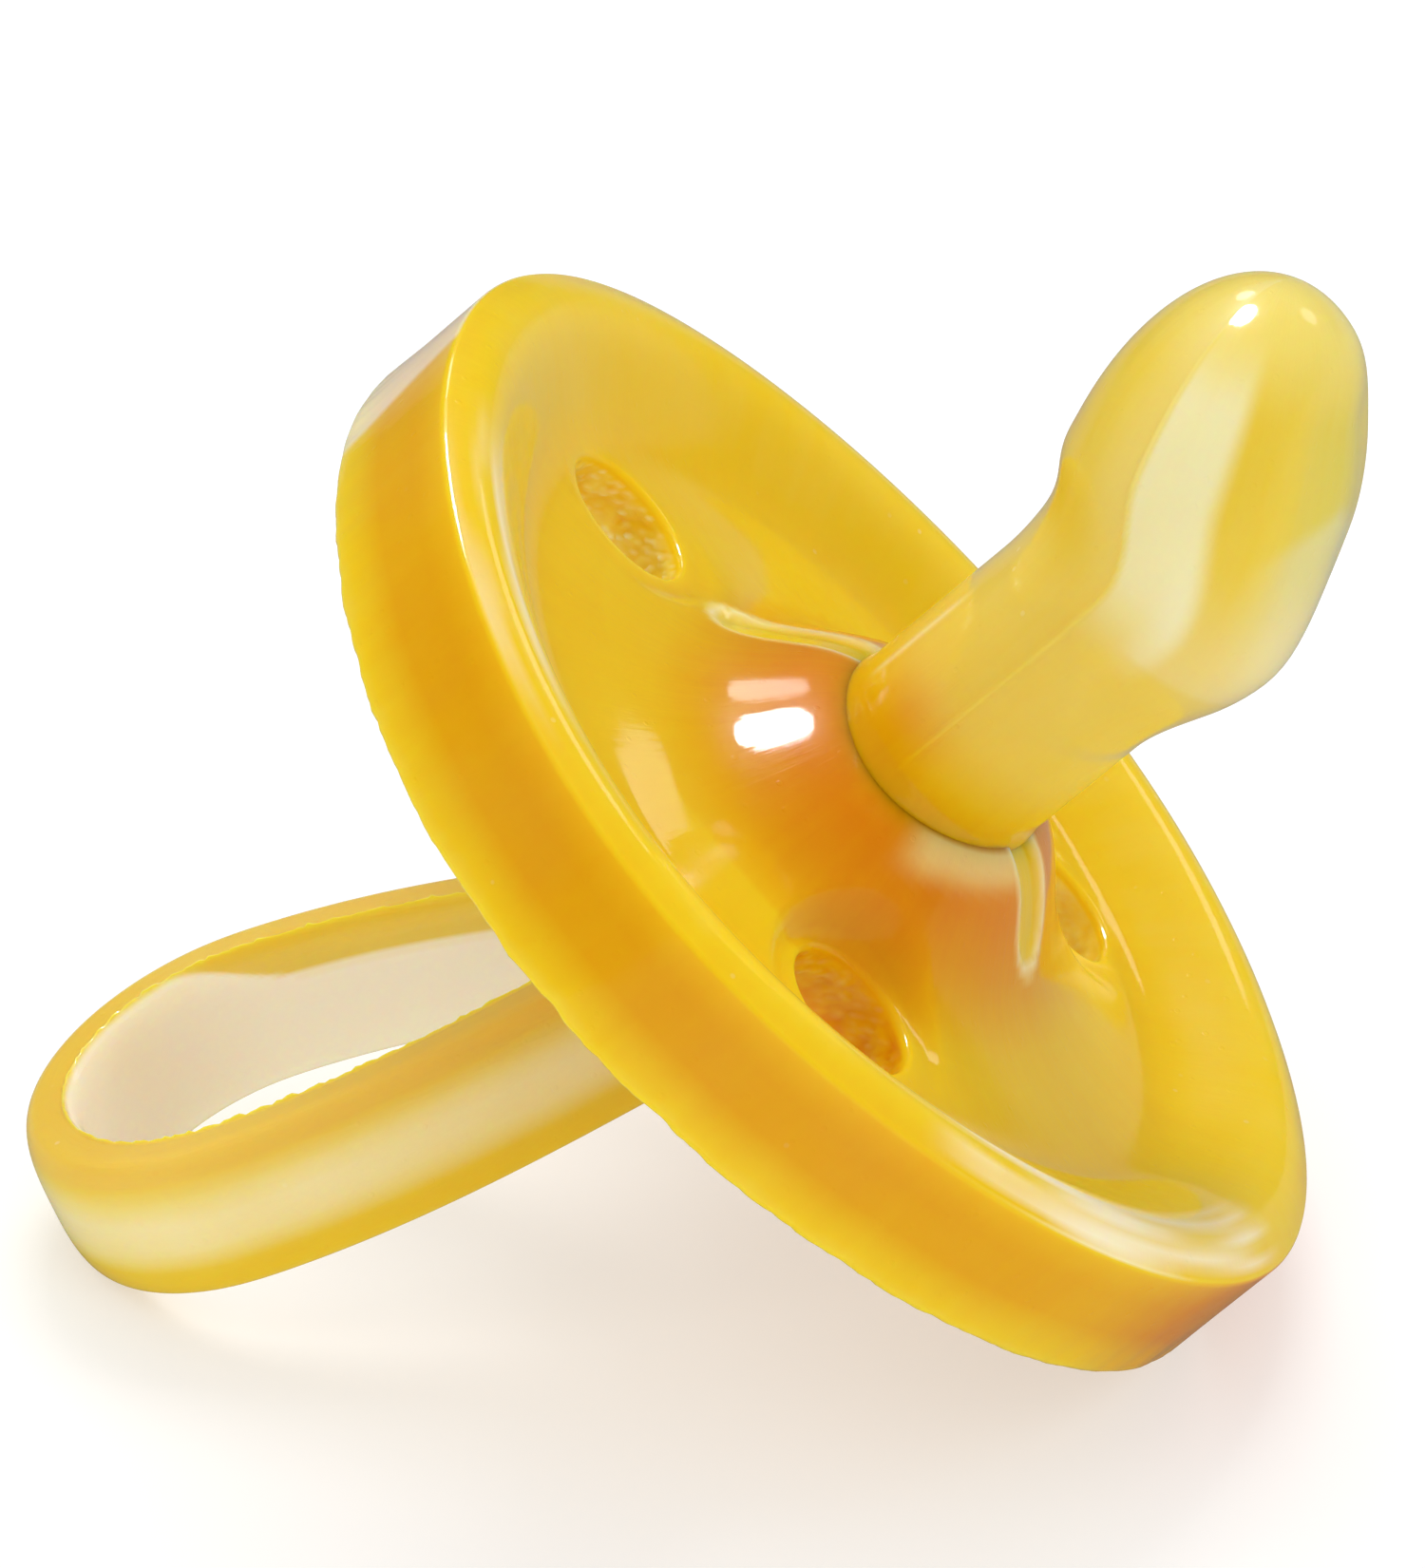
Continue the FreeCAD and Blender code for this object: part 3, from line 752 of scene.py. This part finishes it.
class Nodes:
    """Short calls for building a material's node tree."""

    def __init__(self, name):
        self.material = bpy.data.materials.new(name)
        self.material.use_nodes = True
        self.tree = self.material.node_tree
        self.shader = self.tree.nodes["Principled BSDF"]

    def put(self, socket, value):
        if hasattr(value, "is_output"):
            self.tree.links.new(value, socket)
        else:
            socket.default_value = value

    def attribute(self, name, output="Fac"):
        node = self.tree.nodes.new("ShaderNodeAttribute")
        node.attribute_name = name
        return node.outputs[output]

    def math(self, operation, a, b=0.0, clamp=False):
        node = self.tree.nodes.new("ShaderNodeMath")
        node.operation, node.use_clamp = operation, clamp
        self.put(node.inputs[0], a)
        self.put(node.inputs[1], b)
        return node.outputs[0]

    def noise(self, scale, detail=3.0, vector=None, roughness=0.5):
        node = self.tree.nodes.new("ShaderNodeTexNoise")
        node.inputs["Scale"].default_value = scale
        node.inputs["Detail"].default_value = detail
        node.inputs["Roughness"].default_value = roughness
        self.put(node.inputs["Vector"], vector or self.place())
        return node.outputs["Fac"]

    def place(self):
        return self.tree.nodes.new("ShaderNodeTexCoord").outputs["Object"]

    def spots(self, scale, size):
        """1 in small round spots, 0 elsewhere."""
        node = self.tree.nodes.new("ShaderNodeTexVoronoi")
        node.inputs["Scale"].default_value = scale
        self.put(node.inputs["Vector"], self.place())
        return self.spread(node.outputs["Distance"], size, size * 0.6, 0, 1)

    def spread(self, value, low, high, to_low, to_high):
        node = self.tree.nodes.new("ShaderNodeMapRange")
        keys = ("Value", "From Min", "From Max", "To Min", "To Max")
        for key, v in zip(keys, (value, low, high, to_low, to_high)):
            self.put(node.inputs[key], v)
        return node.outputs["Result"]

    def ramp(self, value, tones):
        node = self.tree.nodes.new("ShaderNodeValToRGB")
        while len(node.color_ramp.elements) < len(tones):
            node.color_ramp.elements.new(0.5)
        for element, (at, colour) in zip(node.color_ramp.elements, tones):
            element.position, element.color = at, linear(*colour)
        self.put(node.inputs["Fac"], value)
        return node.outputs["Color"]

    def mix(self, share, a, b):
        node = self.tree.nodes.new("ShaderNodeMix")
        node.data_type = "RGBA"
        self.put(node.inputs["Factor"], share)
        self.put(node.inputs["A"], a)
        self.put(node.inputs["B"], b)
        return node.outputs["Result"]

    def bump(self, height, distance, strength, below=None):
        node = self.tree.nodes.new("ShaderNodeBump")
        node.inputs["Distance"].default_value = distance
        node.inputs["Strength"].default_value = strength
        self.put(node.inputs["Height"], height)
        if below is not None:
            self.put(node.inputs["Normal"], below)
        return node.outputs["Normal"]


def rubber(name, scatter, rough, streaks):
    """Translucent natural rubber. Colour deepens with the thickness stored on the mesh."""
    n = Nodes(name)
    grain = n.attribute("grain", "Vector")
    cloud = n.spread(n.noise(160, 4), 0.3, 0.7, -0.025, 0.025)
    flow = n.spread(n.noise(1.1, 3, grain), 0.3, 0.7, -0.015, 0.015)
    deep = n.math("ADD", n.math("ADD", n.attribute("deep"), cloud), flow, clamp=True)
    colour = n.ramp(deep, TONES)
    milk = n.math("ADD", n.attribute("milk"), n.spread(n.noise(90, 5), 0.5, 0.8, 0.0, 0.015), clamp=True)
    # the milkiness, with the painted highlights and reflections stored in it, turns the colour to a pale
    # cream
    colour = n.mix(milk, colour, linear(*MILK_AND_PAINTED_LIGHT))
    dust = n.math("MULTIPLY", n.spots(700, 0.10), n.spread(n.noise(120, 2), 0.56, 0.64, 0.0, 0.22))
    colour = n.mix(dust, colour, linear(*DUST))
    s = n.shader
    n.put(s.inputs["Base Color"], colour)
    n.put(s.inputs["Roughness"], n.spread(n.noise(420, 4), 0.3, 0.7, rough, rough + 0.12))
    s.inputs["Subsurface Weight"].default_value = 0.85
    s.inputs["Subsurface Radius"].default_value = (1.0, 0.6, 0.15)
    s.inputs["Subsurface Scale"].default_value = scatter * MM
    s.inputs["IOR"].default_value = 1.5
    s.inputs["Specular IOR Level"].default_value = 0.06
    s.inputs["Coat Weight"].default_value = 0.75
    n.put(s.inputs["Coat Roughness"], n.spread(n.noise(300, 3), 0.3, 0.7, 0.03, 0.09))
    fine = n.bump(n.noise(1500, 3), 0.00003, 0.25)
    pores = n.bump(n.spots(1100, 0.16), 0.00004, 0.25, fine)
    lines = n.bump(n.noise(3.0, 4, grain, 0.6), 0.00008, streaks, pores)
    waves = n.bump(n.noise(260, 2), 0.00015, 0.2, lines)
    n.put(s.inputs["Normal"], waves)
    ripple = n.bump(n.noise(3.0, 4, grain, 0.6), 0.00005, 0.5 * streaks)
    n.put(s.inputs["Coat Normal"], n.bump(n.noise(260, 2), 0.00010, 0.08, ripple))
    return n.material


# Each piece with its body, and its rubber's scattering depth (mm), roughness and strength of streaks
PIECES = [
    (make_shield(), "shield", "guard", (2.6, 0.3, 0.18)),
    (make_teat(), "teat", "guard", (2.2, 0.28, 0.12)),
    (make_plug(), "plug", "swivel", (2.6, 0.34, 0.25)),
    (make_handle(), "handle", "ring", (1.6, 0.42, 0.45)),
]
for piece, node, body, look in PIECES:
    piece.data.materials.append(rubber(node + "_rubber", *look))
    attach(piece, body)
    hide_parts(node)

# ---------------------------------------------------------------- stage, light, camera

def make_floor():
    """A pale table under the pacifier, darker where the rubber mirrors it."""
    low = min(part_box(n)[0].z for n in frame["nodes"])
    bpy.ops.mesh.primitive_plane_add(size=6.0, location=(0, 0, low))
    floor = bpy.context.object
    floor.name = "floor"
    paper = Nodes("paper")
    path = paper.tree.nodes.new("ShaderNodeLightPath").outputs["Is Glossy Ray"]
    paper.put(paper.shader.inputs["Base Color"], paper.mix(path, (0.6, 0.6, 0.6, 1), (0.24, 0.24, 0.24, 1)))
    paper.shader.inputs["Roughness"].default_value = 0.9
    paper.shader.inputs["Specular IOR Level"].default_value = 0.0
    paper.shader.inputs["Emission Color"].default_value = (1, 1, 1, 1)
    paper.put(paper.shader.inputs["Emission Strength"], paper.spread(path, 0, 1, 0.42, 0.05))
    floor.data.materials.append(paper.material)


def make_room():
    """A room that is pale to diffuse light, dark to mirror reflections and white to the camera."""
    world = bpy.data.worlds.new("studio")
    bpy.context.scene.world = world
    world.use_nodes = True
    tree = world.node_tree
    path = tree.nodes.new("ShaderNodeLightPath")
    strength = tree.nodes.new("ShaderNodeMapRange")
    tree.links.new(path.outputs["Is Glossy Ray"], strength.inputs["Value"])
    seen = tree.nodes.new("ShaderNodeMath")
    seen.operation = "MAXIMUM"
    tree.links.new(path.outputs["Is Camera Ray"], seen.inputs[0])
    tree.links.new(strength.outputs["Result"], seen.inputs[1])
    strength.inputs["To Min"].default_value, strength.inputs["To Max"].default_value = 0.72, 0.07
    tree.links.new(seen.outputs[0], tree.nodes["Background"].inputs["Strength"])
    tree.nodes["Background"].inputs["Color"].default_value = (1, 1, 1, 1)


def softbox(name, direction, distance, width, height, power, form="RECTANGLE"):
    """Area light in the given direction from the object, facing it. Rectangles light the rubber and
    aren't mirrored in it; the other forms only make its highlights."""
    data = bpy.data.lights.new(name, "AREA")
    data.shape, data.size, data.size_y, data.energy = form, width, height, power
    obj = bpy.data.objects.new(name, data)
    bpy.context.scene.collection.objects.link(obj)
    d = Vector(direction).normalized()
    obj.location = Vector((0, 0.002, 0.004)) + d * distance
    obj.rotation_euler = d.to_track_quat("Z", "Y").to_euler()
    obj.visible_glossy, obj.visible_diffuse = form != "RECTANGLE", form == "RECTANGLE"


make_floor()
make_room()
softbox("key", (0.52, 0.0, 0.85), 0.6, 0.3, 0.3, 1.35)
softbox("fill", (-0.5, 0.75, 0.9), 0.9, 0.6, 0.6, 1.1)
softbox("front", (-0.8, -0.4, 0.5), 0.9, 0.7, 0.7, 1.4)
softbox("low", (0.3, -0.9, 0.4), 0.9, 0.5, 0.5, 0.7)
softbox("glint", (0.52, -0.08, 0.85), 0.6, 0.15, 0.2, 5.0, "ELLIPSE")
softbox("glint_weak", (0.80, -0.02, 0.59), 0.6, 0.1, 0.12, 0.16, "ELLIPSE")
softbox("glint_side", (0.67, -0.61, 0.40), 0.7, 0.14, 0.14, 0.1, "DISK")

# The camera looks down at about 30 degrees from the -X side, with the handle on the picture's left
VIEW_AZIMUTH, VIEW_ELEVATION, VIEW_ROLL = -87.62, 29.51, 0.36
VIEW_DISTANCE = 0.45
VIEW_AIM = Vector((-0.00072, 0.00237, 0.00430))
camera_data = bpy.data.cameras.new("camera")
camera_data.sensor_width, camera_data.lens = 36.0, 259.2
camera_data.clip_start, camera_data.clip_end = 0.01, 20
camera = bpy.data.objects.new("camera", camera_data)
bpy.context.scene.collection.objects.link(camera)
turns = ((VIEW_AZIMUTH, "Z"), (90 - VIEW_ELEVATION, "X"), (VIEW_ROLL, "Z"))
first, second, third = (Matrix.Rotation(math.radians(angle), 4, axis) for angle, axis in turns)
back_off = Matrix.Translation((0, 0, VIEW_DISTANCE))
camera.matrix_world = Matrix.Translation(VIEW_AIM) @ (first @ second @ third) @ back_off
bpy.context.scene.camera = camera
bpy.context.scene.view_settings.view_transform = "Standard"

bpy.context.view_layer.update()
